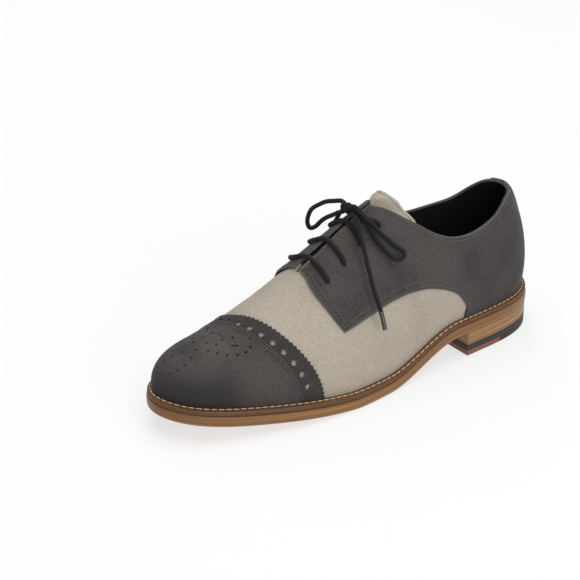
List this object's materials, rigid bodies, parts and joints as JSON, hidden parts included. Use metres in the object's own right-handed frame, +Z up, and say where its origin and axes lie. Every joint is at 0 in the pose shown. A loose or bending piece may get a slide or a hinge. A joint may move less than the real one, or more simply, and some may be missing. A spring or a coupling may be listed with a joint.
{
  "type": "spectator derby shoe",
  "caption": "Laced low shoe, left foot, with a perforated toe cap and quarters over a paler vamp, on a welted sole with a low stacked heel.",
  "frame": {"origin": "centre of the shoe's bounding box in plan, on the ground it stands on", "axes": "-Y towards the toe, +Y towards the heel, +X the outer (lateral) side of a left shoe, +Z up"},
  "size_m": [0.1028, 0.2994, 0.1199],
  "materials": {
    "sole_leather": "polished grained edge",
    "heel_leather": "polished stacked edge",
    "welt_leather": "satin with pale stitching",
    "rubber": "matte",
    "top_piece_leather": "matte cut edge",
    "lining": "smooth matte",
    "stone_suede": "fine suede nap",
    "grey_suede": "fine suede nap",
    "lace": "woven round cord"
  },
  "bodies": {
    "root": {"outsole": "sole_leather", "welt": "welt_leather", "insole": "lining", "heel_stack": "heel_leather", "heel_rubber": "rubber", "heel_front_leather": "top_piece_leather", "upper": "stone_suede", "toe_cap": "grey_suede", "quarter_lateral": "grey_suede", "quarter_medial": "grey_suede", "tongue": "stone_suede", "lace_bar_1": "lace", "lace_bar_2": "lace", "lace_bar_3": "lace", "lace_bar_4": "lace", "lace_knot": "lace", "lace_loop_lateral": "lace", "lace_loop_medial": "lace", "lace_end_lateral": "lace", "lace_end_medial": "lace"}
  },
  "joints": []
}
